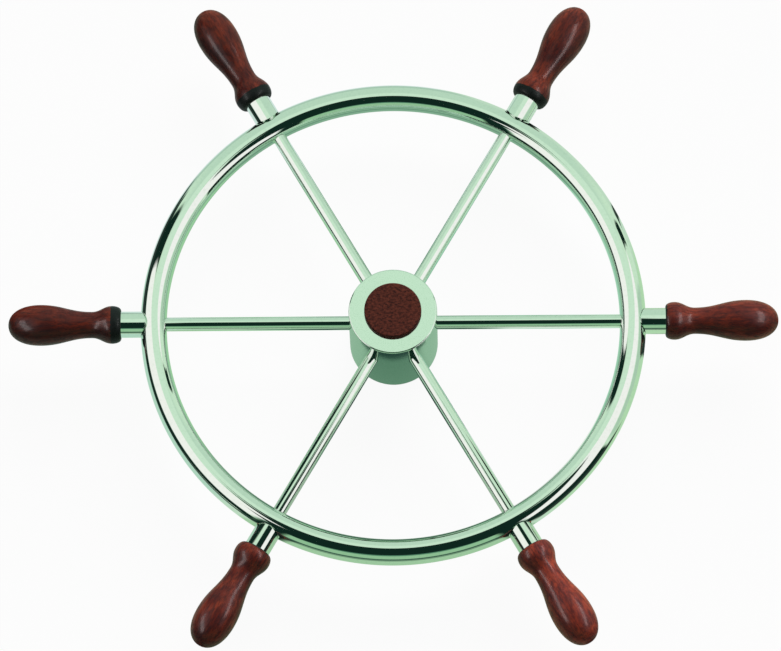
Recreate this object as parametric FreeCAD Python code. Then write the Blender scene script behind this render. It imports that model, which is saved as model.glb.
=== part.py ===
import FreeCAD, Part
import math
import os

# Boat steering wheel: a welded steel wheel with a bored hub, and a turned wood handle in line with each spoke.
# Millimetres. The wheel's axis is Z and its front looks along +Z.
# The origin is the centre of the shaft bore, in the plane of the hub's back face.

# How many spokes, and handles, stand round the hub
spoke_count = 6

# Rim, one tube bent into a ring
rim_radius = 233.3
rim_tube_diameter = 25.4
rim_tube_wall = 1.65
rim_height = 63.8

# Spokes, round bar
spoke_diameter = 13.5
spoke_socket_depth = 8.0

# Hub, turned from bar
hub_diameter = 86.0
hub_length = 99.0
hub_edge_chamfer = 0.8
shaft_bore_diameter = 25.4
shaft_bore_length = 62.0
bore_mouth_chamfer = 1.0
keyway_width = 6.35
keyway_depth = 2.9

# Wood disc in the hub's front face, over the recess for the shaft nut
cap_diameter = 55.4
cap_seat_depth = 8.0
cap_stands_proud = 5.0
cap_edge_radius = 1.6
cap_ledge_width = 5.7

# Stubs on the outside of the rim, which carry the handles, each hollow from the handle's end to its floor
stub_diameter = 25.4
stub_wall = 1.65
stub_reach = 19.0
stub_floor = 3.0

# Round cutter that hollows a stub's inner end, wider than the rim's tube, and the weld in the gap that this leaves
stub_cope_diameter = 38.0
stub_weld_diameter = 21.0

# Turned plug in a stub's outer end, with the shank that holds the handle
plug_length = 8.0
stud_diameter = 10.0
stud_reach = 60.0
stud_end_chamfer = 1.0

# Turned handle, its diameters from the rim outwards and the lengths between them
handle_face_diameter = 27.0
collar_rise = 8.8
collar_diameter = 36.8
collar_to_neck = 19.7
neck_diameter = 25.6
neck_to_bulb = 50.0
bulb_diameter = 39.8
nose_length = 31.5

# Clearances
weld_gap = 0.05
socket_clearance = 0.05
cap_clearance = 0.1
plug_clearance = 0.05
stud_clearance = 0.1
stud_end_room = 2.0

# Sizes worked out from the ones above
hub_radius = hub_diameter / 2
bore_radius = shaft_bore_diameter / 2
cap_seat_radius = cap_diameter / 2 + cap_clearance
cap_seat_height = hub_length - cap_seat_depth
nut_recess_radius = cap_seat_radius - cap_ledge_width
rim_tube_radius = rim_tube_diameter / 2
handle_base = rim_radius + rim_tube_radius + stub_reach
handle_length = collar_rise + collar_to_neck + neck_to_bulb + nose_length

axis_x = FreeCAD.Vector(1, 0, 0)
axis_z = FreeCAD.Vector(0, 0, 1)
centre = FreeCAD.Vector(0, 0, 0)


def turned(edges, axis):
    """A solid of revolution about an axis through the origin, from the closed outline of half its section."""
    outline = Part.Wire(Part.__sortEdges__(edges))
    return Part.Face(outline).revolve(centre, axis, 360)


def point(x, y):
    """A point in the plane of the rim."""
    return FreeCAD.Vector(x, y, 0)


def lines(points):
    """Straight edges from each point to the next."""
    return [Part.makeLine(start, end) for start, end in zip(points, points[1:])]


def curve(points):
    """One Bezier edge with the given points as its poles."""
    bezier = Part.BezierCurve()
    bezier.setPoles(points)
    return bezier.toShape()


def bar(start, end, diameter):
    """A round bar along X between two distances from the wheel's axis."""
    return Part.makeCylinder(diameter / 2, end - start, FreeCAD.Vector(start, 0, 0), axis_x)


def ring(section_radius):
    """A solid ring on the rim's centreline, at height zero."""
    return Part.makeTorus(rim_radius, section_radius, centre, axis_z)


def at_spoke(shape, index):
    """A copy of a shape made along X, turned to one spoke's direction and lifted to the plane of the rim."""
    placed = shape.copy()
    placed.rotate(centre, axis_z, 360 / spoke_count * index)
    placed.translate(FreeCAD.Vector(0, 0, rim_height))
    return placed


def make_rim():
    """The closed ring of tube."""
    tube = ring(rim_tube_radius).cut(ring(rim_tube_radius - rim_tube_wall))
    tube.translate(FreeCAD.Vector(0, 0, rim_height))
    return tube


def make_spoke():
    """A bar from its socket in the hub to the rim, its outer end coped to the tube."""
    blank = bar(hub_radius - spoke_socket_depth, rim_radius, spoke_diameter)
    return blank.cut(ring(rim_tube_radius + weld_gap))


def make_stub():
    """A turned cup from the rim out to the handle, its inner end hollowed and welded to the rim."""
    rim_face = rim_radius + rim_tube_radius + weld_gap
    cope_radius = stub_cope_diameter / 2
    cutter = Part.makeTorus(rim_face - cope_radius, cope_radius, centre, axis_z)
    wall = bar(rim_radius, handle_base, stub_diameter).cut(cutter)
    weld = bar(rim_radius, rim_face + stub_floor, stub_weld_diameter).cut(ring(rim_tube_radius + weld_gap))
    bore = bar(rim_face + stub_floor, handle_base, stub_diameter - 2 * stub_wall)
    return wall.cut(bore).fuse(weld).removeSplitter()


def make_stud():
    """A plug that closes a stub's outer end, and the shank on it that runs into the handle."""
    plug_radius = stub_diameter / 2 - stub_wall - plug_clearance
    shank_radius = stud_diameter / 2
    end = handle_base + stud_reach
    section = [
        point(handle_base - plug_length, 0),
        point(handle_base - plug_length, plug_radius),
        point(handle_base, plug_radius),
        point(handle_base, shank_radius),
        point(end - stud_end_chamfer, shank_radius),
        point(end, shank_radius - stud_end_chamfer),
        point(end, 0),
        point(handle_base - plug_length, 0),
    ]
    return turned(lines(section), axis_x)


def make_handle():
    """A turned handle: a collar at the rim end, a long neck, and a bulb with a blunt nose."""
    collar = handle_base + collar_rise
    neck = collar + collar_to_neck
    bulb = neck + neck_to_bulb
    tip = handle_base + handle_length
    face_radius = handle_face_diameter / 2
    collar_radius = collar_diameter / 2
    neck_radius = neck_diameter / 2
    bulb_radius = bulb_diameter / 2
    # How far each curve runs straight on from its ends, as a share of its length along the axis
    ease = 0.42
    nose_ease = 0.60
    # Where the collar's and the nose's round ends turn, as a share of their height
    collar_round = 0.75
    nose_round = 0.62
    collar_turn = face_radius + (collar_radius - face_radius) * collar_round
    edges = [
        Part.makeLine(point(handle_base, 0), point(handle_base, face_radius)),
        curve([
            point(handle_base, face_radius),
            point(handle_base, collar_turn),
            point(collar - collar_rise * ease, collar_radius),
            point(collar, collar_radius),
        ]),
        curve([
            point(collar, collar_radius),
            point(collar + collar_to_neck * ease, collar_radius),
            point(neck - collar_to_neck * ease, neck_radius),
            point(neck, neck_radius),
        ]),
        curve([
            point(neck, neck_radius),
            point(neck + neck_to_bulb * ease, neck_radius),
            point(bulb - neck_to_bulb * ease, bulb_radius),
            point(bulb, bulb_radius),
        ]),
        curve([
            point(bulb, bulb_radius),
            point(bulb + nose_length * nose_ease, bulb_radius),
            point(tip, bulb_radius * nose_round),
            point(tip, 0),
        ]),
        Part.makeLine(point(tip, 0), point(handle_base, 0)),
    ]
    hole_end = handle_base + stud_reach + stud_end_room
    hole = bar(handle_base, hole_end, stud_diameter + 2 * stud_clearance)
    return turned(edges, axis_x).cut(hole)


def make_hub():
    """The turned hub, with its bore and keyway, the nut recess, the cap's seat and the spokes' sockets."""
    section = [
        (bore_radius + bore_mouth_chamfer, 0),
        (hub_radius - hub_edge_chamfer, 0),
        (hub_radius, hub_edge_chamfer),
        (hub_radius, hub_length - hub_edge_chamfer),
        (hub_radius - hub_edge_chamfer, hub_length),
        (cap_seat_radius, hub_length),
        (cap_seat_radius, cap_seat_height),
        (nut_recess_radius, cap_seat_height),
        (nut_recess_radius, shaft_bore_length),
        (bore_radius, shaft_bore_length),
        (bore_radius, bore_mouth_chamfer),
        (bore_radius + bore_mouth_chamfer, 0),
    ]
    body = turned(lines([FreeCAD.Vector(radius, 0, height) for radius, height in section]), axis_z)
    keyway = Part.makeBox(
        bore_radius + keyway_depth,
        keyway_width,
        shaft_bore_length,
        FreeCAD.Vector(0, -keyway_width / 2, 0),
    )
    keyway.rotate(centre, axis_z, 180 / spoke_count)
    socket = bar(hub_radius - spoke_socket_depth, hub_diameter, spoke_diameter + 2 * socket_clearance)
    return body.cut([keyway] + [at_spoke(socket, index) for index in range(spoke_count)])


def make_cap():
    """The wood disc, pressed on to the ledge in the hub's face, with its front edge rounded."""
    radius = cap_diameter / 2
    top = hub_length + cap_stands_proud
    half = cap_edge_radius * (1 - math.sqrt(0.5))
    edge_low = FreeCAD.Vector(radius, 0, top - cap_edge_radius)
    edge_mid = FreeCAD.Vector(radius - half, 0, top - half)
    edge_high = FreeCAD.Vector(radius - cap_edge_radius, 0, top)
    base = FreeCAD.Vector(0, 0, cap_seat_height)
    front = FreeCAD.Vector(0, 0, top)
    edges = lines([front, base, FreeCAD.Vector(radius, 0, cap_seat_height), edge_low])
    edges.append(Part.Arc(edge_low, edge_mid, edge_high).toShape())
    edges.append(Part.makeLine(edge_high, front))
    return turned(edges, axis_z)


os.makedirs("parts", exist_ok=True)
wheel = {"rim": make_rim(), "hub": make_hub(), "hub_cap": make_cap()}
repeated = {
    "spoke": make_spoke(),
    "handle_stub": make_stub(),
    "handle_stud": make_stud(),
    "handle": make_handle(),
}
for name, shape in repeated.items():
    for index in range(spoke_count):
        wheel[name + "_" + str(index + 1)] = at_spoke(shape, index)

for name, shape in wheel.items():
    shape.exportStep("parts/" + name + ".step")
    print(name, "solids", len(shape.Solids), "volume", round(shape.Volume, 1), "valid", shape.isValid())
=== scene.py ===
import math
import bpy
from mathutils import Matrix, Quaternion, Vector


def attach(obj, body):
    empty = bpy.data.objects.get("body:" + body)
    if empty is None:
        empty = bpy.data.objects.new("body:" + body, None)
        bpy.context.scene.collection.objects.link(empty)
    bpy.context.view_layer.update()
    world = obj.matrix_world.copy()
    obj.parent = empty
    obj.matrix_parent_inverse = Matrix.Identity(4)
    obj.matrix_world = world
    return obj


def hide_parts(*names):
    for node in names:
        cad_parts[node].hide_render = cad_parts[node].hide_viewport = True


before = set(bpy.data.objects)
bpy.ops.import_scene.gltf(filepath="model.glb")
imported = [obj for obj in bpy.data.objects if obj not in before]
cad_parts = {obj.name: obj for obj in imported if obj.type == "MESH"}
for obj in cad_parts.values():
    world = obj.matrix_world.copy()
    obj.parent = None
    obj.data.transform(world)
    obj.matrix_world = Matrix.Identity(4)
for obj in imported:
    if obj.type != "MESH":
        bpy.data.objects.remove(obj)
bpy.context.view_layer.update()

print("the packed wheel is loaded")

# Shared sizes in metres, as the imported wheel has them
wheel = {
    "count": 6,              # spokes, stubs and handles
    "height": 0.0638,        # plane of the rim above the hub's back face
    "rimRadius": 0.2333,     # to the tube's centreline
    "tubeRadius": 0.0127,
    "weldGap": 0.00005,      # left between pieces that are welded
    "mergeWithin": 0.000005,
    "near": 0.0001,          # a point this close to a face or an edge counts as on it
    "facing": 0.9,           # a face with more of its normal than this along Z counts as level
    "endRings": (0.6, 0.5),  # rings inside the end of a bar, each as a share of the one before
}


# Small helpers for working by hand
def startFresh():
    if bpy.context.object and bpy.context.object.mode != "OBJECT":
        bpy.ops.object.mode_set(mode="OBJECT")
    bpy.ops.object.select_all(action="DESELECT")


def nameIt(name):
    piece = bpy.context.object
    piece.name = name
    piece.data.name = name
    bpy.ops.object.transform_apply(location=True, rotation=True, scale=True)
    return piece


def makeActive(piece):
    startFresh()
    piece.select_set(True)
    bpy.context.view_layer.objects.active = piece


def editAll(piece):
    makeActive(piece)
    bpy.ops.object.mode_set(mode="EDIT")
    bpy.ops.mesh.select_mode(type="VERT")
    bpy.ops.mesh.select_all(action="SELECT")


def editPoints(piece, wanted):
    # Edit mode with only the points selected that the test wants
    editAll(piece)
    bpy.ops.mesh.select_all(action="DESELECT")
    bpy.ops.object.mode_set(mode="OBJECT")
    for vertex in piece.data.vertices:
        vertex.select = wanted(vertex.co)
    bpy.ops.object.mode_set(mode="EDIT")
    bpy.ops.mesh.select_mode(type="VERT")


def editFaces(piece, wanted):
    editAll(piece)
    bpy.ops.mesh.select_mode(type="FACE")
    bpy.ops.mesh.select_all(action="DESELECT")
    bpy.ops.object.mode_set(mode="OBJECT")
    for face in piece.data.polygons:
        face.select = wanted(face)
    bpy.ops.object.mode_set(mode="EDIT")


def editEdges(piece, wanted):
    # Edit mode with only the edges selected whose two ends pass the test
    editAll(piece)
    bpy.ops.mesh.select_mode(type="EDGE")
    bpy.ops.mesh.select_all(action="DESELECT")
    bpy.ops.object.mode_set(mode="OBJECT")
    points = piece.data.vertices
    for edge in piece.data.edges:
        edge.select = wanted(points[edge.vertices[0]].co, points[edge.vertices[1]].co)
    bpy.ops.object.mode_set(mode="EDIT")


def applyModifier(piece, kind, **settings):
    makeActive(piece)
    modifier = piece.modifiers.new(kind.lower(), kind)
    for name, value in settings.items():
        setattr(modifier, name, value)
    bpy.ops.object.modifier_apply(modifier=modifier.name)


def finishMesh(piece, smoothAngle, flatFaces=False):
    # With flatFaces the shading of large faces stays flat up to a rounded edge
    editAll(piece)
    bpy.ops.mesh.remove_doubles(threshold=wheel["mergeWithin"])
    bpy.ops.mesh.normals_make_consistent(inside=False)
    bpy.ops.object.mode_set(mode="OBJECT")
    bpy.ops.object.shade_smooth_by_angle(angle=math.radians(smoothAngle))
    if flatFaces:
        applyModifier(piece, "WEIGHTED_NORMAL", weight=100, keep_sharp=True)


def ringOfPoints(piece, name, wanted):
    group = piece.vertex_groups.new(name=name)
    group.add([vertex.index for vertex in piece.data.vertices if wanted(vertex.co)], 1, "REPLACE")


def removePiece(piece):
    mesh = piece.data
    bpy.data.objects.remove(piece)
    bpy.data.meshes.remove(mesh)


def extrudeOut(x):
    # A new ring from the selected one, moved along X
    bpy.ops.mesh.extrude_edges_move(TRANSFORM_OT_translate={"value": (x, 0, 0)})


def extrudeRing(share, at):
    # A new ring from the selected one, resized about the bar's axis
    extrudeOut(0)
    bpy.ops.transform.resize(value=(1, share, share), center_override=(at, 0, wheel["height"]))


def closeRing(at):
    # Two smaller rings and a point in the middle, in place of one wide face
    for share in wheel["endRings"]:
        extrudeRing(share, at)
    extrudeOut(0)
    bpy.ops.mesh.merge(type="CENTER")


def castRing(piece, name, target, gap, outwards):
    # Moves a group of points along X on to the target's surface
    applyModifier(
        piece, "SHRINKWRAP", target=target, vertex_group=name, wrap_method="PROJECT", use_project_x=True,
        use_positive_direction=outwards, use_negative_direction=not outwards, offset=gap)


def spokeTurn(index):
    return 2 * math.pi / wheel["count"] * index


def settle(piece, slotName, material, *nodes):
    piece.data.materials.clear()
    piece.data.materials.append(material)
    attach(piece, "root")
    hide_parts(*nodes)


def placeRound(model, nodeName, slotName, material):
    # One copy in each spoke's direction, each with a mesh of its own; the model goes when they are made
    pieces = []
    for index in range(wheel["count"]):
        makeActive(model)
        bpy.ops.object.duplicate()
        piece = bpy.context.object
        piece.rotation_euler = (0, 0, spokeTurn(index))
        piece.name = model.name + "_" + str(index + 1)
        piece.data.name = piece.name
        bpy.ops.object.transform_apply(location=True, rotation=True, scale=True)
        settle(piece, slotName, material, nodeName + "_" + str(index + 1))
        pieces.append(piece)
    removePiece(model)
    return pieces


# Small helpers for materials
def addNode(tree, kind, sockets=None, **settings):
    # A value that is itself a socket is linked, any other is set
    node = tree.nodes.new(kind)
    for name, value in settings.items():
        setattr(node, name, value)
    for name, value in (sockets or {}).items():
        if isinstance(value, bpy.types.NodeSocket):
            tree.links.new(value, node.inputs[name])
        else:
            node.inputs[name].default_value = value
    return node


def sums(tree, operation, first, second=0.0, third=0.0, clamp=False):
    values = {0: first, 1: second, 2: third}
    return addNode(tree, "ShaderNodeMath", values, operation=operation, use_clamp=clamp).outputs[0]


def spread(tree, value, fromLow, fromHigh, toLow=0.0, toHigh=1.0):
    # Maps a range of values to another, with soft ends
    sockets = {"Value": value, "From Min": fromLow, "From Max": fromHigh, "To Min": toLow, "To Max": toHigh}
    return addNode(tree, "ShaderNodeMapRange", sockets, interpolation_type="SMOOTHSTEP").outputs["Result"]


def mixColours(tree, share, first, second):
    sockets = {0: share, 6: first, 7: second}
    return addNode(tree, "ShaderNodeMix", sockets, data_type="RGBA").outputs[2]


def scaled(tree, vector, scale):
    sockets = {0: vector, 1: scale}
    return addNode(tree, "ShaderNodeVectorMath", sockets, operation="MULTIPLY").outputs[0]


def noise(tree, vector, scale, detail, roughness=0.5):
    sockets = {"Vector": vector, "Scale": scale, "Detail": detail, "Roughness": roughness}
    return addNode(tree, "ShaderNodeTexNoise", sockets).outputs["Fac"]


def startGroup(name, inputs, outputs):
    group = bpy.data.node_groups.new(name, "ShaderNodeTree")
    for label, kind in inputs.items():
        group.interface.new_socket(label, in_out="INPUT", socket_type=kind)
    for label, kind in outputs.items():
        group.interface.new_socket(label, in_out="OUTPUT", socket_type=kind)
    return group, addNode(group, "NodeGroupInput").outputs, addNode(group, "NodeGroupOutput").inputs


def useGroup(tree, group, sockets):
    return addNode(tree, "ShaderNodeGroup", sockets, node_tree=group).outputs


def startMaterial(name):
    material = bpy.data.materials.new(name)
    material.use_nodes = True
    tree = material.node_tree
    tree.nodes.clear()
    shader = addNode(tree, "ShaderNodeBsdfPrincipled")
    addNode(tree, "ShaderNodeOutputMaterial", {"Surface": shader.outputs[0]})
    return material, tree, shader


def rgb(red, green, blue):
    return (red, green, blue, 1.0)


# Groups that several materials share
polishPattern = {
    "waveDetail": 2.0,
    "markDetail": 4.0,
    "markRoughness": 0.6,
    "markShare": 0.12,             # of the height
    "smearRange": (0.45, 0.75),
}


def makePolishMarks():
    # What polishing leaves on steel: slow waves and a few faint smears
    look = polishPattern
    kinds = {"Place": "NodeSocketVector", "Wave Scale": "NodeSocketFloat", "Mark Scale": "NodeSocketFloat"}
    results = {"Height": "NodeSocketFloat", "Smear": "NodeSocketFloat"}
    group, given, out = startGroup("polishMarks", kinds, results)
    waves = noise(group, given["Place"], given["Wave Scale"], look["waveDetail"])
    fine = noise(group, given["Place"], given["Mark Scale"], look["markDetail"], look["markRoughness"])
    group.links.new(sums(group, "MULTIPLY_ADD", fine, look["markShare"], waves), out["Height"])
    group.links.new(spread(group, fine, *look["smearRange"]), out["Smear"])
    return group


grainPattern = {
    "streakDetail": 5.0,
    "streakRoughness": 0.62,
    "streakRange": (0.32, 0.68),
    "poreStretch": (1.8, 3.1, 3.1),      # against the streaks
    "poreDetail": 2.0,
    "poreRange": (0.58, 0.72),
    "patchStretch": (0.45, 0.16, 0.16),
    "patchDetail": 2.0,
    "patchRange": (0.35, 0.65),
}


def makeWoodGrain():
    # Streaks and pores that run along X, and slow patches of lighter wood
    look = grainPattern
    kinds = {"Place": "NodeSocketVector", "Along": "NodeSocketFloat", "Across": "NodeSocketFloat"}
    results = {"Streaks": "NodeSocketFloat", "Pores": "NodeSocketFloat", "Patches": "NodeSocketFloat"}
    group, given, out = startGroup("woodGrain", kinds, results)
    across = given["Across"]
    stretch = addNode(group, "ShaderNodeCombineXYZ", {0: given["Along"], 1: across, 2: across}).outputs[0]
    along = scaled(group, given["Place"], stretch)
    streaks = noise(group, along, 1.0, look["streakDetail"], look["streakRoughness"])
    pores = noise(group, scaled(group, along, look["poreStretch"]), 1.0, look["poreDetail"])
    patches = noise(group, scaled(group, along, look["patchStretch"]), 1.0, look["patchDetail"])
    group.links.new(spread(group, streaks, *look["streakRange"]), out["Streaks"])
    group.links.new(spread(group, pores, *look["poreRange"]), out["Pores"])
    group.links.new(spread(group, patches, *look["patchRange"]), out["Patches"])
    return group


polishMarks = makePolishMarks()
woodGrain = makeWoodGrain()

# Finishes
rimSteelLook = {
    "colour": rgb(0.80, 0.88, 0.82),
    "dullColour": rgb(0.73, 0.82, 0.75),
    "roughness": (0.025, 0.08),
    "waveScale": 38.0,
    "markScale": 420.0,
    "bump": 0.02,
    "bumpDepth": 0.0004,
}


def makeRimSteel():
    look = rimSteelLook
    material, tree, shader = startMaterial("rimPolishedSteel")
    place = addNode(tree, "ShaderNodeTexCoord").outputs["Object"]
    sockets = {"Place": place, "Wave Scale": look["waveScale"], "Mark Scale": look["markScale"]}
    marks = useGroup(tree, polishMarks, sockets)
    shader.inputs["Metallic"].default_value = 1.0
    colour = mixColours(tree, marks["Smear"], look["colour"], look["dullColour"])
    tree.links.new(colour, shader.inputs["Base Color"])
    tree.links.new(spread(tree, marks["Smear"], 0.0, 1.0, *look["roughness"]), shader.inputs["Roughness"])
    bump = {"Strength": look["bump"], "Distance": look["bumpDepth"], "Height": marks["Height"]}
    tree.links.new(addNode(tree, "ShaderNodeBump", bump).outputs[0], shader.inputs["Normal"])
    return material


hubSteelLook = {
    "colour": rgb(0.79, 0.89, 0.82),
    "dullColour": rgb(0.62, 0.76, 0.66),
    "roughness": (0.05, 0.12),
    "waveScale": 60.0,
    "markScale": 900.0,
    "grooveScale": 2600.0,     # lathe grooves, as rings round the axis and up the side
    "grooveDetail": 3.0,
    "grooveRoughness": 0.7,
    "grooveShare": 0.5,        # of the wear, the rest comes from smears
    "grooveHeight": 0.25,
    "wearRange": (0.1, 0.8),
    "bump": 0.16,
    "bumpDepth": 0.0003,
}


def makeHubSteel(name, look):
    material, tree, shader = startMaterial(name)
    place = addNode(tree, "ShaderNodeTexCoord").outputs["Object"]
    sockets = {"Place": place, "Wave Scale": look["waveScale"], "Mark Scale": look["markScale"]}
    marks = useGroup(tree, polishMarks, sockets)
    apart = addNode(tree, "ShaderNodeSeparateXYZ", {0: place}).outputs
    flat = addNode(tree, "ShaderNodeCombineXYZ", {0: apart[0], 1: apart[1]}).outputs[0]
    radius = addNode(tree, "ShaderNodeVectorMath", {0: flat}, operation="LENGTH").outputs["Value"]
    across = addNode(tree, "ShaderNodeCombineXYZ", {0: radius, 1: apart[2]}).outputs[0]
    grooves = noise(tree, across, look["grooveScale"], look["grooveDetail"], look["grooveRoughness"])
    shader.inputs["Metallic"].default_value = 1.0
    colour = mixColours(tree, marks["Smear"], look["colour"], look["dullColour"])
    tree.links.new(colour, shader.inputs["Base Color"])
    smears = sums(tree, "MULTIPLY", marks["Smear"], 1 - look["grooveShare"])
    worn = sums(tree, "MULTIPLY_ADD", grooves, look["grooveShare"], smears)
    tree.links.new(spread(tree, worn, *look["wearRange"], *look["roughness"]), shader.inputs["Roughness"])
    height = sums(tree, "MULTIPLY_ADD", grooves, look["grooveHeight"], marks["Height"])
    bump = {"Strength": look["bump"], "Distance": look["bumpDepth"], "Height": height}
    tree.links.new(addNode(tree, "ShaderNodeBump", bump).outputs[0], shader.inputs["Normal"])
    return material


studSteelLook = dict(hubSteelLook, roughness=(0.25, 0.38), grooveScale=3200.0)

handleWoodLook = {
    "dark": rgb(0.026, 0.007, 0.009),
    "red": rgb(0.130, 0.0195, 0.0135),
    "bright": rgb(0.245, 0.037, 0.0175),
    "endGrainAndShade": rgb(0.008, 0.012, 0.011),   # sealed end grain at the rim end, and painted shade where the dark end reaches further
    "along": 95.0,             # grain per metre along the handle, and across it
    "across": 400.0,
    "streakDepth": 0.75,
    "poreDepth": 0.8,
    "poreSink": -0.5,
    "endGrainAndShadeWander": 0.0006,     # of the edge of the dark end (end grain and painted shade) with the grain, and how soft it is
    "endGrainAndShadeEdge": (-0.0004, 0.0005),
    "endGrainAndShadeCoat": 0.2,          # varnish left over the dark end of end grain and painted shade, as a share of the rest
    "roughness": (0.42, 0.58),
    "specular": 0.10,
    "coat": 0.18,
    "coatRoughness": 0.17,
    "bump": 0.16,
    "bumpDepth": 0.0002,
}


def makeHandleWood():
    look = handleWoodLook
    material, tree, shader = startMaterial("handleVarnishedWood")
    place = addNode(tree, "ShaderNodeAttribute", attribute_name="grainPlace").outputs["Vector"]
    lightness = addNode(tree, "ShaderNodeAttribute", attribute_name="handleLightness").outputs["Fac"]
    intoEndGrainAndShade = addNode(tree, "ShaderNodeAttribute", attribute_name="endGrainAndShadeDepth").outputs["Fac"]
    grain = useGroup(tree, woodGrain, {"Place": place, "Along": look["along"], "Across": look["across"]})
    wood = mixColours(tree, grain["Patches"], look["red"], look["bright"])
    for part, depth in (("Streaks", "streakDepth"), ("Pores", "poreDepth")):
        wood = mixColours(tree, sums(tree, "MULTIPLY", grain[part], look[depth]), wood, look["dark"])
    lighter = addNode(tree, "ShaderNodeCombineXYZ", {0: lightness, 1: lightness, 2: lightness}).outputs[0]
    wood = scaled(tree, wood, lighter)
    # The dark rim end: end grain, and painted shade where it reaches further, with little varnish over it
    centred = sums(tree, "SUBTRACT", grain["Streaks"], 0.5)
    edge = sums(tree, "MULTIPLY_ADD", centred, look["endGrainAndShadeWander"], intoEndGrainAndShade)
    endGrainAndShaded = spread(tree, edge, *look["endGrainAndShadeEdge"])
    wood = mixColours(tree, endGrainAndShaded, wood, look["endGrainAndShade"])
    tree.links.new(wood, shader.inputs["Base Color"])
    tree.links.new(spread(tree, grain["Streaks"], 0.0, 1.0, *look["roughness"]), shader.inputs["Roughness"])
    height = sums(tree, "MULTIPLY_ADD", grain["Pores"], look["poreSink"], grain["Streaks"])
    bump = {"Strength": look["bump"], "Distance": look["bumpDepth"], "Height": height}
    tree.links.new(addNode(tree, "ShaderNodeBump", bump).outputs[0], shader.inputs["Normal"])
    shader.inputs["Specular IOR Level"].default_value = look["specular"]
    coat = spread(tree, endGrainAndShaded, 0.0, 1.0, look["coat"], look["coat"] * look["endGrainAndShadeCoat"])
    tree.links.new(coat, shader.inputs["Coat Weight"])
    shader.inputs["Coat Roughness"].default_value = look["coatRoughness"]
    return material


capWoodLook = {
    "dark": rgb(0.016, 0.008, 0.009),
    "red": rgb(0.150, 0.040, 0.026),
    "along": 330.0,
    "across": 470.0,
    "streakDepth": 0.8,
    "poreDepth": 0.5,
    "roughness": (0.50, 0.65),
    "specular": 0.12,
    "bump": 0.2,
    "bumpDepth": 0.0002,
}


def makeCapWood():
    look = capWoodLook
    material, tree, shader = startMaterial("capSatinWood")
    place = addNode(tree, "ShaderNodeTexCoord").outputs["Object"]
    grain = useGroup(tree, woodGrain, {"Place": place, "Along": look["along"], "Across": look["across"]})
    streaks = sums(tree, "MULTIPLY", grain["Streaks"], look["streakDepth"])
    share = sums(tree, "MULTIPLY_ADD", grain["Pores"], look["poreDepth"], streaks, clamp=True)
    tree.links.new(mixColours(tree, share, look["red"], look["dark"]), shader.inputs["Base Color"])
    tree.links.new(spread(tree, grain["Streaks"], 0.0, 1.0, *look["roughness"]), shader.inputs["Roughness"])
    bump = {"Strength": look["bump"], "Distance": look["bumpDepth"], "Height": grain["Streaks"]}
    tree.links.new(addNode(tree, "ShaderNodeBump", bump).outputs[0], shader.inputs["Normal"])
    shader.inputs["Specular IOR Level"].default_value = look["specular"]
    return material


rimSteel = makeRimSteel()
hubSteel = makeHubSteel("hubTurnedSteel", hubSteelLook)
studSteel = makeHubSteel("studTurnedSteel", studSteelLook)
handleWood = makeHandleWood()
capWood = makeCapWood()
print("finishes made")

# Rim: one bent tube
rimShape = {"sectionPoints": 72, "turnSteps": 360, "smoothAngle": 180}


def makeRim():
    startFresh()
    bpy.ops.mesh.primitive_circle_add(
        vertices=rimShape["sectionPoints"], radius=wheel["tubeRadius"],
        location=(wheel["rimRadius"], 0, wheel["height"]), rotation=(math.pi / 2, 0, 0))
    rim = nameIt("rim_tube")
    editAll(rim)
    bpy.ops.mesh.spin(steps=rimShape["turnSteps"], angle=2 * math.pi, center=(0, 0, 0), axis=(0, 0, 1))
    finishMesh(rim, rimShape["smoothAngle"])
    return rim


rim = makeRim()
settle(rim, "rim_steel", rimSteel, "rim")
print("rim made")

# Spokes: round bar, its outer end fitted to the rim
spokeShape = {
    "radius": 0.00675,
    "start": 0.035,
    "bodyEnd": 0.216,       # the outer end is cast on to the rim from here
    "points": 48,
    "lip": 0.0004,          # round on the edges of both ends
    "lipSteps": 3,
    "endSlope": 0.8,        # an edge at an end runs along the bar by less than this share of its length
    "smoothAngle": 40,
}


def makeSpokes():
    shape = spokeShape
    startFresh()
    bpy.ops.mesh.primitive_circle_add(
        vertices=shape["points"], radius=shape["radius"],
        location=(shape["start"], 0, wheel["height"]), rotation=(0, math.pi / 2, 0))
    spoke = nameIt("spoke_bar")
    editAll(spoke)
    extrudeOut(shape["bodyEnd"] - shape["start"])
    closeRing(shape["bodyEnd"])
    editPoints(spoke, lambda co: co.x < shape["start"] + wheel["near"])
    closeRing(shape["start"])
    bpy.ops.object.mode_set(mode="OBJECT")
    ringOfPoints(spoke, "rimEnd", lambda co: co.x > shape["bodyEnd"] - wheel["near"])
    castRing(spoke, "rimEnd", rim, wheel["weldGap"], outwards=True)
    roundEnds(spoke)
    finishMesh(spoke, shape["smoothAngle"], flatFaces=True)
    placeRound(spoke, "spoke", "rim_steel", rimSteel)


def roundEnds(spoke):
    # A small round on the edge at each end
    shape = spokeShape

    def onEnd(first, second):
        offAxis = min(math.hypot(co.y, co.z - wheel["height"]) for co in (first, second))
        roundBar = abs(first.x - second.x) < shape["endSlope"] * (first - second).length
        return roundBar and offAxis > shape["radius"] - wheel["near"]

    editEdges(spoke, onEnd)
    bpy.ops.mesh.bevel(offset=shape["lip"], segments=shape["lipSteps"], affect="EDGES")


makeSpokes()
print("spokes made")

# Stubs: turned cups that carry the handles
stubShape = {
    "radius": 0.0127,
    "boreRadius": 0.01105,
    "weldRadius": 0.0105,
    "copeRadius": 0.019,
    "floor": 0.003,
    "end": 0.265,
    "points": 72,
    "cutterSteps": (720, 144),
    "smoothAngle": 40,
    "middle": 0.256,
    "copeFrom": 0.2525,        # the hollowed end's ring is cast inwards from here on to its cutter
    "weldFrom": 0.0015,        # and the weld's ring on to the rim from this far outside it
}


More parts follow.
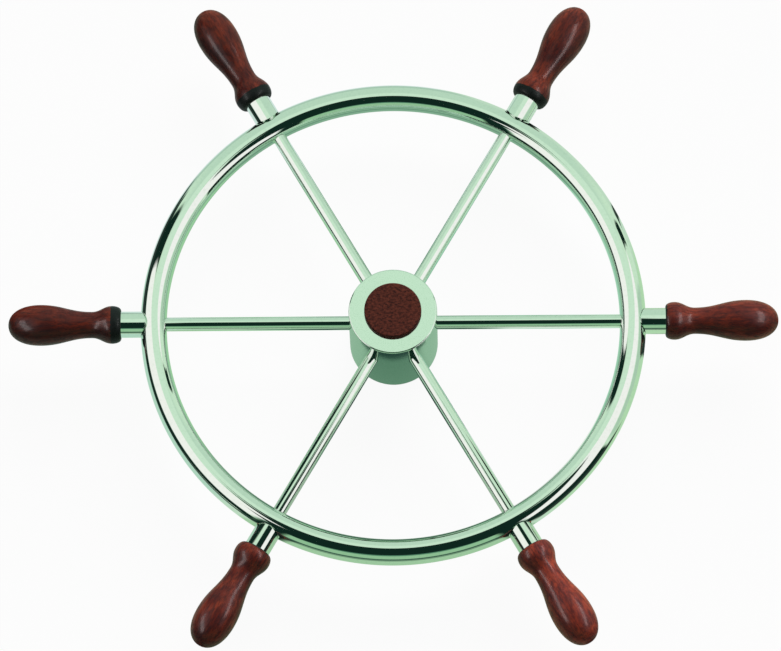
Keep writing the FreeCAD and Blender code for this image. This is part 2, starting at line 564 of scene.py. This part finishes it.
def makeStubs():
    shape = stubShape
    rimFace = wheel["rimRadius"] + wheel["tubeRadius"] + wheel["weldGap"]
    startFresh()
    bpy.ops.mesh.primitive_torus_add(
        major_segments=shape["cutterSteps"][0], minor_segments=shape["cutterSteps"][1],
        major_radius=rimFace - shape["copeRadius"], minor_radius=shape["copeRadius"],
        location=(0, 0, wheel["height"]))
    cutter = nameIt("cope_cutter")
    startFresh()
    bpy.ops.mesh.primitive_circle_add(
        vertices=shape["points"], radius=shape["radius"],
        location=(shape["middle"], 0, wheel["height"]), rotation=(0, math.pi / 2, 0))
    stub = nameIt("stub_cup")
    editAll(stub)
    # Outwards to the handle, in over the end, and down the bore to its floor
    extrudeOut(shape["end"] - shape["middle"])
    extrudeRing(shape["boreRadius"] / shape["radius"], shape["end"])
    extrudeOut(rimFace + shape["floor"] - shape["end"])
    closeRing(rimFace + shape["floor"])
    # Inwards to the hollowed end, and on as the weld to the rim
    editPoints(stub, lambda co: abs(co.x - shape["middle"]) < wheel["near"])
    copeStart = shape["copeFrom"]
    extrudeOut(copeStart - shape["middle"])
    extrudeRing(shape["weldRadius"] / shape["radius"], copeStart)
    weldStart = rimFace + shape["weldFrom"]
    extrudeOut(weldStart - copeStart)
    closeRing(weldStart)
    bpy.ops.object.mode_set(mode="OBJECT")
    ringOfPoints(stub, "copeEnd", lambda co: abs(co.x - copeStart) < wheel["near"])
    ringOfPoints(stub, "weldEnd", lambda co: abs(co.x - weldStart) < wheel["near"])
    castRing(stub, "copeEnd", cutter, 0.0, outwards=False)
    castRing(stub, "weldEnd", rim, wheel["weldGap"], outwards=False)
    removePiece(cutter)
    finishMesh(stub, shape["smoothAngle"], flatFaces=True)
    placeRound(stub, "handle_stub", "rim_steel", rimSteel)


makeStubs()
print("stubs made")

# Handles: turned wood, from the collar at the rim end to the nose
handleShape = {
    "start": 0.265,
    "faceRadius": 0.0135,
    "collarRise": 0.0088,
    "collarRadius": 0.0184,
    "collarToNeck": 0.0197,
    "neckRadius": 0.0128,
    "neckToBulb": 0.050,
    "bulbRadius": 0.0199,
    "nose": 0.0315,
    "holeRadius": 0.0051,
    "holeDepth": 0.062,
    "ease": 0.42,            # how far a curve runs straight on, as a share of its length
    "noseEase": 0.60,
    "collarTurn": 0.75,
    "noseTurn": 0.62,
    "curveSteps": 22,
    "turnSteps": 96,
    "straightWithin": 0.05,  # degrees, points on a line straighter than this go
    "smoothAngle": 50,
}


def handleOutline():
    # Each knot of the outline with the handle before it and the one after it, as (x, radius)
    shape = handleShape
    face = shape["start"]
    collar = face + shape["collarRise"]
    neck = collar + shape["collarToNeck"]
    bulb = neck + shape["neckToBulb"]
    tip = bulb + shape["nose"]
    ease = shape["ease"]
    collarTurn = shape["faceRadius"] + (shape["collarRadius"] - shape["faceRadius"]) * shape["collarTurn"]
    hole = shape["holeRadius"]
    holeEnd = face + shape["holeDepth"]
    return [
        ((holeEnd, 0), None, (holeEnd, 0)),
        ((holeEnd, hole), (holeEnd, hole), (holeEnd, hole)),
        ((face, hole), (face, hole), (face, hole)),
        ((face, shape["faceRadius"]), (face, shape["faceRadius"]), (face, collarTurn)),
        ((collar, shape["collarRadius"]), (collar - shape["collarRise"] * ease, shape["collarRadius"]),
         (collar + shape["collarToNeck"] * ease, shape["collarRadius"])),
        ((neck, shape["neckRadius"]), (neck - shape["collarToNeck"] * ease, shape["neckRadius"]),
         (neck + shape["neckToBulb"] * ease, shape["neckRadius"])),
        ((bulb, shape["bulbRadius"]), (bulb - shape["neckToBulb"] * ease, shape["bulbRadius"]),
         (bulb + shape["nose"] * shape["noseEase"], shape["bulbRadius"])),
        ((tip, 0), (tip, shape["bulbRadius"] * shape["noseTurn"]), (tip, 0)),
    ]


def makeHandles():
    shape = handleShape
    outline = handleOutline()
    startFresh()
    bpy.ops.curve.primitive_bezier_curve_add()
    curve = bpy.context.object
    spline = curve.data.splines[0]
    spline.bezier_points.add(len(outline) - len(spline.bezier_points))
    curve.data.resolution_u = shape["curveSteps"]
    for point, (knot, before, after) in zip(spline.bezier_points, outline):
        point.handle_left_type = "FREE"
        point.handle_right_type = "FREE"
        point.co = (knot[0], knot[1], wheel["height"])
        left = before or knot
        point.handle_left = (left[0], left[1], wheel["height"])
        point.handle_right = (after[0], after[1], wheel["height"])
    bpy.ops.object.convert(target="MESH")
    handle = nameIt("handle_wood")
    editAll(handle)
    bpy.ops.mesh.dissolve_limited(angle_limit=math.radians(shape["straightWithin"]))
    editAll(handle)
    bpy.ops.mesh.spin(
        steps=shape["turnSteps"], angle=2 * math.pi, center=(0, 0, wheel["height"]), axis=(1, 0, 0))
    finishMesh(handle, shape["smoothAngle"])
    pieces = placeRound(handle, "handle", "handle_wood", handleWood)
    for index, piece in enumerate(pieces):
        layGrain(piece, index)
    return pieces


# Each handle's own grain, its lightness and its dark end, from handle 1 on
handleWoods = {
    "turns": (20, 145, 260, 75, 200, 320),             # of the grain about the handle's axis, in degrees
    "shift": 0.37,                                     # of the grain from handle to handle, in metres
    "offCentre": (0.006, 0.003),                       # of the grain against the handle's axis
    # lightness of each handle's colour: higher on the handles towards +X and -Y, lower on those towards -X
    # and +Y
    "tones": (1.25, 1.0, 0.78, 0.74, 1.05, 1.9),
    "endGrainAndShaded": (0.0016, 0.0085, 0.0095, 0.0100, 0.0016, 0.0012),   # reach of the dark end from the rim side: end grain, and painted shade in the longer reaches on handles 2, 3 and 4
}


def layGrain(piece, index):
    # Each handle reads its grain from its own block of wood, with X along the handle
    woods = handleWoods
    turnBack = Quaternion((0, 0, 1), -spokeTurn(index))
    turnBlock = Quaternion((1, 0, 0), math.radians(woods["turns"][index]))
    shift = Vector((woods["shift"] * (index + 1), *woods["offCentre"]))
    attributes = piece.data.attributes
    for name, kind in (("grainPlace", "FLOAT_VECTOR"), ("handleLightness", "FLOAT"), ("endGrainAndShadeDepth", "FLOAT")):
        attributes.new(name, kind, "POINT")
    place, tone, endGrainAndShade = attributes["grainPlace"], attributes["handleLightness"], attributes["endGrainAndShadeDepth"]
    for number, vertex in enumerate(piece.data.vertices):
        own = turnBack @ vertex.co
        own.z -= wheel["height"]
        place.data[number].vector = turnBlock @ own + shift
        tone.data[number].value = woods["tones"][index]
        # how far into the dark end: end grain, and painted shade where it reaches further
        endGrainAndShade.data[number].value = handleShape["start"] + woods["endGrainAndShaded"][index] - own.x


handles = makeHandles()
print("handles made")

# Hub: turned from bar, with its bore, keyway, nut recess, cap seat and spoke sockets
hubShape = {
    "radius": 0.043,
    "length": 0.099,
    "seatRadius": 0.0278,
    "seatDepth": 0.008,
    "recessRadius": 0.0221,
    "boreRadius": 0.0127,
    "boreLength": 0.062,
    "mouthChamfer": 0.001,
    "edgeRound": 0.0014,
    "edgeSteps": 3,
    "keywayWidth": 0.00635,
    "keywayReach": 0.0156,
    "keywayTurn": 30.0,
    "keywayOver": 0.0002,             # its cutter stands out of both ends by half of this
    "socketRadius": 0.0068,
    "socketStart": 0.035,
    "socketReach": 0.02,              # of the bar that cuts it
    "socketPoints": 48,
    "socketBand": (0.0555, 0.0721),   # side wall split above and below the sockets
    "points": 180,
    "smoothAngle": 35,
}


def makeHub():
    shape = hubShape
    startFresh()
    bpy.ops.mesh.primitive_cylinder_add(
        vertices=shape["points"], radius=shape["radius"], depth=shape["length"],
        location=(0, 0, shape["length"] / 2), end_fill_type="NGON")
    hub = nameIt("hub_body")
    # Front face: cap seat, then nut recess, then the bore's upper end
    editFaces(hub, lambda face: face.normal.z > wheel["facing"])
    stepIn(shape["radius"], shape["seatRadius"], -shape["seatDepth"])
    recessDepth = shape["length"] - shape["seatDepth"] - shape["boreLength"]
    stepIn(shape["seatRadius"], shape["recessRadius"], -recessDepth)
    stepIn(shape["recessRadius"], shape["boreRadius"], 0)
    bpy.ops.mesh.delete(type="ONLY_FACE")
    # Back face: the bore's chamfered mouth
    editFaces(hub, lambda face: face.normal.z < -wheel["facing"] and face.center.z < wheel["near"])
    mouth = shape["boreRadius"] + shape["mouthChamfer"]
    stepIn(shape["radius"], mouth, shape["mouthChamfer"])
    bpy.ops.transform.resize(value=(shape["boreRadius"] / mouth,) * 2 + (1,), center_override=(0, 0, 0))
    bpy.ops.mesh.delete(type="ONLY_FACE")
    # The bore between its two ends
    editPoints(hub, lambda co: math.hypot(co.x, co.y) < shape["boreRadius"] + wheel["near"])
    bpy.ops.mesh.bridge_edge_loops()
    for height in shape["socketBand"]:
        editAll(hub)
        bpy.ops.mesh.bisect(plane_co=(0, 0, height), plane_no=(0, 0, 1))
    roundRims(hub)
    for cutter in makeHubCutters():
        applyModifier(hub, "BOOLEAN", object=cutter, operation="DIFFERENCE", solver="EXACT")
        removePiece(cutter)
    finishMesh(hub, shape["smoothAngle"], flatFaces=True)
    return hub


def stepIn(outer, inner, depth):
    # Inset the selected round face to a smaller radius, and push it along Z
    flat = math.cos(math.pi / hubShape["points"])
    bpy.ops.mesh.inset(thickness=(outer - inner) * flat)
    if depth:
        bpy.ops.mesh.extrude_region_move(TRANSFORM_OT_translate={"value": (0, 0, depth)})


def roundRims(hub):
    # A small round on the outer edges of both faces
    shape = hubShape
    near = wheel["near"]

    def onRim(first, second):
        level = abs(first.z - second.z) < near
        atFace = first.z < near or first.z > shape["length"] - near
        return level and atFace and min(first.xy.length, second.xy.length) > shape["radius"] - near

    editEdges(hub, onRim)
    bpy.ops.mesh.bevel(offset=shape["edgeRound"], segments=shape["edgeSteps"], affect="EDGES")


def makeHubCutters():
    # The keyway's slot, and one bar for each spoke's socket
    shape = hubShape
    cutters = []
    startFresh()
    turn = math.radians(shape["keywayTurn"])
    middle = shape["keywayReach"] / 2
    bpy.ops.mesh.primitive_cube_add(
        size=1, location=(math.cos(turn) * middle, math.sin(turn) * middle, shape["boreLength"] / 2),
        rotation=(0, 0, turn),
        scale=(shape["keywayReach"], shape["keywayWidth"], shape["boreLength"] + shape["keywayOver"]))
    cutters.append(nameIt("keyway_cutter"))
    reach = shape["socketReach"]
    for index in range(wheel["count"]):
        startFresh()
        turn = spokeTurn(index)
        middle = shape["socketStart"] + reach / 2
        bpy.ops.mesh.primitive_cylinder_add(
            vertices=shape["socketPoints"], radius=shape["socketRadius"], depth=reach,
            location=(math.cos(turn) * middle, math.sin(turn) * middle, wheel["height"]),
            rotation=(0, math.pi / 2, turn))
        cutters.append(nameIt("socket_cutter"))
    return cutters


hub = makeHub()
settle(hub, "hub_steel", hubSteel, "hub")
print("hub made")

# Cap: a wood disc in the hub's front face
capShape = {
    "radius": 0.0277,
    "low": 0.091,
    "high": 0.104,
    "edge": 0.0016,
    "edgeSteps": 6,
    "faceRing": 0.3,        # width of each ring round the middle of a face, as a share of the radius
    "points": 128,
    "smoothAngle": 40,
}


def makeCap():
    shape = capShape
    startFresh()
    bpy.ops.mesh.primitive_cylinder_add(
        vertices=shape["points"], radius=shape["radius"], depth=shape["high"] - shape["low"],
        location=(0, 0, (shape["high"] + shape["low"]) / 2), end_fill_type="NGON")
    cap = nameIt("cap_disc")
    editFaces(cap, lambda face: face.normal.z > wheel["facing"])
    bpy.ops.mesh.bevel(offset=shape["edge"], segments=shape["edgeSteps"], affect="EDGES")
    # Both round faces, the only ones with that many corners
    editFaces(cap, lambda face: len(face.vertices) == shape["points"])
    bpy.ops.mesh.inset(thickness=shape["radius"] * shape["faceRing"])
    bpy.ops.mesh.inset(thickness=shape["radius"] * shape["faceRing"])
    bpy.ops.mesh.poke()
    finishMesh(cap, shape["smoothAngle"], flatFaces=True)
    return cap


cap = makeCap()
settle(cap, "cap_wood", capWood, "hub_cap")
print("cap made")

# The studs stay as packed, with a turned finish
for index in range(wheel["count"]):
    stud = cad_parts["handle_stud_" + str(index + 1)]
    for materialSlot in stud.material_slots:
        materialSlot.material = studSteel

# Camera at the photograph's angle
cameraPlace = {
    "azimuth": 1.919,
    "elevation": 71.389,
    "roll": -2.233,
    "distance": 6.8538,
    "target": Vector((-0.00266, -0.00267, 0.0638)),
    "lens": 324.45,
    "sensorWidth": 36.0,
}


def makeCamera():
    place = cameraPlace
    azimuth = math.radians(place["azimuth"])
    elevation = math.radians(place["elevation"])
    back = Vector((math.sin(azimuth) * math.cos(elevation), -math.cos(azimuth) * math.cos(elevation),
                   math.sin(elevation)))
    startFresh()
    bpy.ops.object.camera_add(location=place["target"] + back * place["distance"])
    camera = bpy.context.object
    camera.name = "photo_camera"
    camera.rotation_mode = "QUATERNION"
    level = (-back).to_track_quat("-Z", "Y")
    camera.rotation_quaternion = level @ Quaternion((0, 0, 1), math.radians(place["roll"]))
    camera.data.sensor_width = place["sensorWidth"]
    camera.data.lens = place["lens"]
    bpy.context.scene.camera = camera


makeCamera()
bpy.context.scene.view_settings.view_transform = "Standard"

# Studio shell that only polished surfaces mirror
studio = {
    "reach": 1.6,                      # metres from the wheel
    "segments": 96,
    "rings": 48,
    "tone": rgb(0.68, 0.87, 0.68),     # the back and all that no patch covers
}


def patch(tone, turn, halfWidth, low, high, soft=3, tilt=0, slant=0, rise=0):
    # A patch of the studio: its direction and size in degrees, the softness of its edges, and how they lean
    return {"tone": tone, "Turn": turn, "Tilt": tilt, "Half Width": halfWidth, "Low": low, "High": high,
            "Soft": soft, "Slant": slant, "Rise": rise}


black = rgb(0.006, 0.022, 0.016)
studioPatches = {
    "back": patch(rgb(0.57, 0.76, 0.61), 180, 40, -20, 57, soft=16),
    "highBack": patch(rgb(0.69, 0.88, 0.71), 180, 100, 56, 91, soft=8),
    "frontTop": patch(rgb(0.09, 0.24, 0.15), -2, 46, 32, 60),
    "frontLight": patch(rgb(0.33, 0.58, 0.35), -2, 46, 8, 33),
    "frontLow": patch(rgb(0.05, 0.12, 0.08), -2, 46, -40, 8),
    "leftGap": patch(rgb(0.13, 0.22, 0.16), -90, 43, 7, 18, soft=2, rise=0.18),
    "leftPanel": patch(rgb(1.06, 1.01, 1.00), -85, 40, 16.5, 68, soft=4, rise=0.17),
    "leftDark": patch(black, -88, 45, -6, 13, rise=0.19),
    "leftPost": patch(black, -122, 6.5, -30, 49, slant=-0.24),
    "leftFoot": patch(black, -116, 20, -20, 8),
    "rightPanel": patch(rgb(1.06, 1.00, 1.01), 84, 43, 27, 68, soft=4, rise=0.23),
    "rightGrey": patch(rgb(0.48, 0.66, 0.51), 94, 20, -30, 25, soft=4, rise=0.2),
    "rightDark": patch(black, 55, 16, -20, 23, soft=2),
    "rightPost": patch(black, 124.5, 2.8, 12, 40, soft=1.5, slant=0.15),
    "frontPostLeft": patch(black, -38.5, 5, -60, 60),
    "frontPostRight": patch(black, 36, 4.5, -60, 50),
    "hoodLow": patch(black, 0, 28, -22, 6, soft=2, tilt=63),
    "hoodHigh": patch(black, 0, 19, 4, 28, soft=2, tilt=63),
    "hoodTop": patch(black, 0, 12, 26, 37, soft=2, tilt=63),
    "hoodSide": patch(black, 62, 30, 53, 84, rise=0.5),
}


def makeStudioPatch():
    # 1 inside a patch of directions and 0 outside it, with soft edges, leaning sides or sloping ends
    labels = ("Turn", "Tilt", "Half Width", "Low", "High", "Soft", "Slant", "Rise")
    kinds = dict({"Direction": "NodeSocketVector"}, **{label: "NodeSocketFloat" for label in labels})
    group, given, out = startGroup("studioPatch", kinds, {"Mask": "NodeSocketFloat"})
    turn = sums(group, "RADIANS", given["Turn"])
    tilt = sums(group, "RADIANS", given["Tilt"])
    sockets = {"Vector": given["Direction"], "Angle": sums(group, "MULTIPLY", turn, -1.0)}
    turned = addNode(group, "ShaderNodeVectorRotate", sockets, rotation_type="Z_AXIS").outputs[0]
    sockets = {"Vector": turned, "Angle": tilt}
    facing = addNode(group, "ShaderNodeVectorRotate", sockets, rotation_type="X_AXIS").outputs[0]
    apart = addNode(group, "ShaderNodeSeparateXYZ", {0: facing}).outputs
    ahead = sums(group, "MULTIPLY", apart[1], -1.0)
    azimuth = sums(group, "DEGREES", sums(group, "ARCTAN2", apart[0], ahead))
    elevation = sums(group, "DEGREES", sums(group, "ARCSINE", apart[2]))
    across = sums(group, "SUBTRACT", azimuth, sums(group, "MULTIPLY", elevation, given["Slant"]))
    up = sums(group, "SUBTRACT", elevation, sums(group, "MULTIPLY", azimuth, given["Rise"]))
    half = sums(group, "MULTIPLY", given["Soft"], 0.5)
    sides = sums(group, "SUBTRACT", given["Half Width"], sums(group, "ABSOLUTE", across))
    above = sums(group, "SUBTRACT", up, given["Low"])
    below = sums(group, "SUBTRACT", given["High"], up)
    nearest = sums(group, "MINIMUM", sides, sums(group, "MINIMUM", above, below))
    start = sums(group, "MULTIPLY", half, -1.0)
    group.links.new(spread(group, nearest, start, half), out["Mask"])
    return group


patchGroup = makeStudioPatch()


def layPatches(tree, direction, tone, patches):
    # Each patch covers the ones before it
    for spot in patches.values():
        sockets = dict(spot, Direction=direction)
        cover = sockets.pop("tone")
        mask = useGroup(tree, patchGroup, sockets)["Mask"]
        tone = mixColours(tree, mask, tone, cover)
    return tone


def makeStudio():
    startFresh()
    bpy.ops.mesh.primitive_uv_sphere_add(
        segments=studio["segments"], ring_count=studio["rings"], radius=studio["reach"],
        location=(0, 0, wheel["height"]))
    shell = nameIt("studio_shell")
    material, tree, shader = startMaterial("studioShell")
    tree.nodes.remove(shader)
    place = addNode(tree, "ShaderNodeTexCoord").outputs["Object"]
    sockets = {0: place, 1: (0, 0, wheel["height"])}
    fromWheel = addNode(tree, "ShaderNodeVectorMath", sockets, operation="SUBTRACT").outputs[0]
    direction = addNode(tree, "ShaderNodeVectorMath", {0: fromWheel}, operation="NORMALIZE").outputs[0]
    tone = layPatches(tree, direction, studio["tone"], studioPatches)
    glow = addNode(tree, "ShaderNodeEmission", {"Color": tone}).outputs[0]
    tree.links.new(glow, tree.nodes["Material Output"].inputs["Surface"])
    material.cycles.emission_sampling = "NONE"
    shell.data.materials.append(material)
    shell.visible_camera = False
    shell.visible_diffuse = False
    shell.visible_transmission = False
    shell.visible_shadow = False


lamps = {
    "around": rgb(0.07, 0.07, 0.07),
    "keyFrom": Vector((0.267, 0.775, 0.574)),   # main light, for colour
    "keyStrength": 3.3,
    "keyAngle": 50.0,
    # Long lamps that put the highlights on the varnish: place, length, width, watts
    "strips": {
        "strip_right": (Vector((0.87, 0.08, 0.87)), 1.2, 0.30, 11.0),
        "strip_left": (Vector((-0.93, -0.26, 0.80)), 1.1, 0.34, 10.0),
    },
}


def makeWorld():
    # White behind the wheel, and a little light from all round
    world = bpy.data.worlds.new("studio")
    world.use_nodes = True
    tree = world.node_tree
    tree.nodes.clear()
    rays = addNode(tree, "ShaderNodeLightPath").outputs
    around = addNode(tree, "ShaderNodeBackground", {"Color": lamps["around"]}).outputs[0]
    white = addNode(tree, "ShaderNodeBackground", {"Color": rgb(1, 1, 1)}).outputs[0]
    seen = sums(tree, "ADD", rays["Is Camera Ray"], rays["Is Transmission Ray"], clamp=True)
    seen = sums(tree, "ADD", seen, rays["Is Glossy Ray"], clamp=True)
    shader = addNode(tree, "ShaderNodeMixShader", {0: seen, 1: around, 2: white}).outputs[0]
    addNode(tree, "ShaderNodeOutputWorld", {"Surface": shader})
    bpy.context.scene.world = world


def makeLamps():
    startFresh()
    bpy.ops.object.light_add(type="SUN", location=lamps["keyFrom"])
    key = bpy.context.object
    key.name = "key_lamp"
    key.rotation_mode = "QUATERNION"
    key.rotation_quaternion = (-lamps["keyFrom"]).to_track_quat("-Z", "Y")
    key.data.energy = lamps["keyStrength"]
    key.data.angle = math.radians(lamps["keyAngle"])
    key.visible_glossy = False
    varnished = bpy.data.collections.new("varnished")
    for handle in handles:
        varnished.objects.link(handle)
    for name, (place, length, width, watts) in lamps["strips"].items():
        startFresh()
        bpy.ops.object.light_add(type="AREA", location=place)
        lamp = bpy.context.object
        lamp.name = name
        lamp.rotation_mode = "QUATERNION"
        lamp.rotation_quaternion = (Vector((0, 0, wheel["height"])) - place).to_track_quat("-Z", "Y")
        lamp.data.shape = "RECTANGLE"
        lamp.data.size = length
        lamp.data.size_y = width
        lamp.data.energy = watts
        lamp.visible_diffuse = False
        lamp.visible_camera = False
        lamp.light_linking.receiver_collection = varnished


makeStudio()
makeWorld()
makeLamps()

floorLook = {
    "size": 40.0,
    "drop": 0.0002,
    "pale": rgb(0.90, 0.91, 0.90),
    "paler": rgb(0.93, 0.94, 0.93),
    "blotchScale": 3.0,
    "blotchDetail": 2.0,
    "roughness": 0.9,
    "shadowShare": 0.06,               # how much of the floor's own shading the camera sees
    "mirrorShare": 0.97,
    "eyeHeight": 0.30,                 # the patches are placed as seen from here above the hub
    "tone": rgb(0.62, 0.80, 0.64),
}
# Painted reflections: what the steel mirrors of the floor, outside the rim between -52 and 0 degrees,
# inside it below that; the dark patches round the hub are painted shade
floorPatches = {
    "right": patch(rgb(0.52, 0.77, 0.50), 78, 36, -52, 0, soft=8),
    "left": patch(rgb(0.52, 0.75, 0.62), -82, 34, -52, 0, soft=8),
    "backLeft": patch(rgb(0.46, 0.64, 0.52), -162, 32, -40, 0, soft=6),
    "leftBack": patch(rgb(0.72, 0.85, 0.82), -150, 40, -52, -40, soft=4),
    "front": patch(rgb(0.42, 0.66, 0.42), -2, 38, -52, 0),
    "frontFar": patch(rgb(0.19, 0.33, 0.21), -2, 38, -31, 0, soft=4),
    "leftFar": patch(black, -114, 19, -41, 0, soft=4),
    "leftLine": patch(black, -70, 30, -29, 0, soft=3),
    "rightFar": patch(black, 55, 16, -38, 0, soft=4),
    "postLeft": patch(black, -31.5, 3.5, -49, 0),
    "postRight": patch(black, 32, 3, -49, 0),
    "stubRight": patch(black, 101, 2.4, -50, -20, soft=1.5, slant=0.26),
    "rightLine": patch(black, 130, 1.8, -47, -19, soft=1.5, slant=0.17),
    "stubBackRight": patch(black, 160, 1.8, -49, -28, soft=1.5, slant=0.24),
    "stubBackLeft": patch(black, -157.5, 1.8, -49, -24, soft=1.5, slant=-0.15),
    "insideFront": patch(rgb(0.26, 0.46, 0.32), 180, 62, -63, -52, soft=4),
    "insideLeft": patch(rgb(0.60, 0.84, 0.68), 104, 30, -63, -52, soft=6),
    "insideRight": patch(rgb(0.40, 0.60, 0.39), -90, 30, -63, -52, soft=4),
    "insideBack": patch(rgb(0.50, 0.62, 0.49), 0, 60, -63, -52, soft=4),
    "nearHub": patch(rgb(0.17, 0.34, 0.23), 0, 181, -73, -62),
    "nearLeft": patch(rgb(0.38, 0.68, 0.40), -106, 36, -73, -56, soft=10),
    "nearRight": patch(rgb(0.36, 0.66, 0.48), 102, 36, -73, -58, soft=10),
    "insideBright": patch(rgb(0.90, 0.96, 0.90), 54, 20, -70, -54, soft=8),
    "roundHub": patch(rgb(0.29, 0.49, 0.34), 0, 181, -91, -73),
    "hubFront": patch(rgb(0.10, 0.22, 0.145), 0, 46, -89, -62, soft=34),
    "hubLine": patch(rgb(0.02, 0.06, 0.045), 0, 66, -76.8, -68, soft=1.2),
}


def makeFloor():
    look = floorLook
    startFresh()
    bpy.ops.mesh.primitive_plane_add(size=look["size"], location=(0, 0, -look["drop"]))
    floor = nameIt("pale_floor")
    material, tree, shader = startMaterial("paleFloor")
    place = addNode(tree, "ShaderNodeTexCoord").outputs["Object"]
    blotches = noise(tree, place, look["blotchScale"], look["blotchDetail"])
    pale = mixColours(tree, blotches, look["pale"], look["paler"])
    tree.links.new(pale, shader.inputs["Base Color"])
    shader.inputs["Roughness"].default_value = look["roughness"]
    shader.inputs["Specular IOR Level"].default_value = 0.0
    sockets = {0: place, 1: (0, 0, look["eyeHeight"])}
    fromEye = addNode(tree, "ShaderNodeVectorMath", sockets, operation="SUBTRACT").outputs[0]
    direction = addNode(tree, "ShaderNodeVectorMath", {0: fromEye}, operation="NORMALIZE").outputs[0]
    tone = layPatches(tree, direction, look["tone"], floorPatches)
    rays = addNode(tree, "ShaderNodeLightPath").outputs
    white = addNode(tree, "ShaderNodeEmission", {"Color": rgb(1, 1, 1)}).outputs[0]
    # painted reflection: the floor glows with the patches' tones for glossy rays only
    mirrored = addNode(tree, "ShaderNodeEmission", {"Color": tone}).outputs[0]
    seen = sums(tree, "ADD", rays["Is Camera Ray"], rays["Is Transmission Ray"], clamp=True)
    whiteShare = sums(tree, "MULTIPLY", seen, 1 - look["shadowShare"])
    mirrorShare = sums(tree, "MULTIPLY", rays["Is Glossy Ray"], look["mirrorShare"])
    surface = shader.outputs[0]
    for share, glow in ((mirrorShare, mirrored), (whiteShare, white)):
        surface = addNode(tree, "ShaderNodeMixShader", {0: share, 1: surface, 2: glow}).outputs[0]
    tree.links.new(surface, tree.nodes["Material Output"].inputs["Surface"])
    floor.data.materials.append(material)


makeFloor()
print("camera, studio and floor made")
